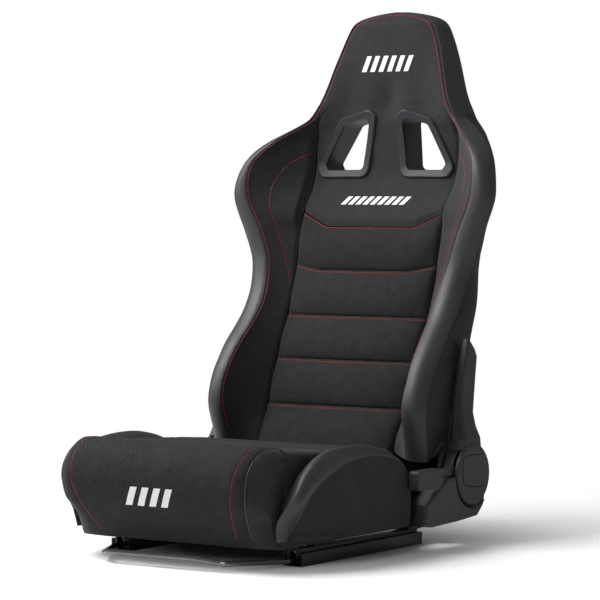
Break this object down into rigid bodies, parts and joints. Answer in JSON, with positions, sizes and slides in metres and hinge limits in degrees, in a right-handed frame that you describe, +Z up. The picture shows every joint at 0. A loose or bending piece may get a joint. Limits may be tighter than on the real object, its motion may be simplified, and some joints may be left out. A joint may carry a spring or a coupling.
{
  "type": "reclining racing seat",
  "caption": "Bucket-style racing seat with side wings, harness slots, an attached headrest, a reclining back, and a sliding base on two rails with a front release bar.",
  "frame": {"origin": "centre of the footprint on the floor, at the lower rails' undersides", "axes": "+X towards the recline lever's side, which is the right side seen from the front; -Y to the front; +Z up"},
  "size_m": [0.577, 0.8167, 0.974],
  "materials": {
    "woven_cloth": "matte fine weave",
    "spacer_mesh": "matte knitted mesh",
    "coated_leather": "soft sheen",
    "moulded_plastic": "fine grain",
    "rail_paint": "satin black",
    "frame_paint": "matte black",
    "zinc_plate": "zinc plated",
    "bar_chrome": "dark chrome",
    "bearing_steel": "bright steel"
  },
  "bodies": {
    "floor_rails": {"lower_rail_left": "rail_paint", "lower_rail_right": "rail_paint"},
    "ball_cages": {"ball_cage_left": "bearing_steel", "ball_cage_right": "bearing_steel"},
    "seat_base": {"upper_rail_left": "rail_paint", "upper_rail_right": "rail_paint", "bar_pivot_pin_left": "zinc_plate", "bar_pivot_pin_right": "zinc_plate", "rail_bracket_front_left": "frame_paint", "rail_bracket_front_right": "frame_paint", "rail_bracket_rear_left": "frame_paint", "rail_bracket_rear_right": "frame_paint", "rail_bolt_left_1": "zinc_plate", "rail_bolt_left_2": "zinc_plate", "rail_bolt_left_3": "zinc_plate", "rail_bolt_left_4": "zinc_plate", "rail_bolt_right_1": "zinc_plate", "rail_bolt_right_2": "zinc_plate", "rail_bolt_right_3": "zinc_plate", "rail_bolt_right_4": "zinc_plate", "recliner_bracket_left": "frame_paint", "recliner_bracket_right": "frame_paint", "recliner_base_disc_left": "bearing_steel", "recliner_base_disc_right": "bearing_steel", "lower_cover_left": "moulded_plastic", "lower_cover_right": "moulded_plastic", "cushion_bolster_left": "coated_leather", "cushion_bolster_right": "coated_leather", "seat_pan": "frame_paint", "cross_tube": "frame_paint", "cushion_front_roll": "spacer_mesh", "cushion_pad": "spacer_mesh"},
    "release_bar": {"release_bar": "bar_chrome", "latch_plate_left": "zinc_plate", "latch_plate_right": "zinc_plate"},
    "backrest": {"recliner_gear_disc_left": "bearing_steel", "recliner_gear_disc_right": "bearing_steel", "upper_arm_left": "frame_paint", "upper_arm_right": "frame_paint", "arm_cover_left": "moulded_plastic", "arm_cover_right": "moulded_plastic", "back_wing_left": "coated_leather", "back_wing_right": "coated_leather", "harness_bezel_left": "moulded_plastic", "harness_bezel_right": "moulded_plastic", "harness_rim_rear_left": "moulded_plastic", "harness_rim_rear_right": "moulded_plastic", "back_spring_left": "bearing_steel", "back_spring_right": "bearing_steel", "back_foam": "spacer_mesh", "headrest_foam": "woven_cloth", "rear_panel": "woven_cloth", "frame_hoop": "frame_paint", "frame_rod_lower": "frame_paint", "frame_rod_middle": "frame_paint", "frame_rod_upper": "frame_paint"},
    "recline_lever": {"recline_shaft": "bearing_steel", "recline_lever": "moulded_plastic"}
  },
  "joints": [
    {"name": "seat_slide", "type": "slide", "parent": "floor_rails", "child": "seat_base", "axis": [0, 1, 0], "range_m": [-0.09, 0.02]},
    {"name": "cage_slide", "type": "slide", "parent": "floor_rails", "child": "ball_cages", "axis": [0, 1, 0], "range_m": [-0.045, 0.01]},
    {"name": "backrest_recline", "type": "hinge", "parent": "seat_base", "child": "backrest", "pos_m": [0, 0.1856, 0.126], "axis": [-1, 0, 0], "range_deg": [-15, 55]},
    {"name": "recline_lever_pull", "type": "hinge", "parent": "seat_base", "child": "recline_lever", "pos_m": [0, 0.1856, 0.126], "axis": [-1, 0, 0], "range_deg": [0, 20], "stiffness_Nm_per_rad": 6, "springref_deg": -17.19},
    {"name": "release_bar_lift", "type": "hinge", "parent": "seat_base", "child": "release_bar", "pos_m": [0, -0.1294, 0.0145], "axis": [-1, 0, 0], "range_deg": [-1.4, 2], "stiffness_Nm_per_rad": 60, "springref_deg": -2.86}
  ],
  "couplings": [
    {"joint": "cage_slide", "follows": "seat_slide", "ratio": 0.5}
  ]
}
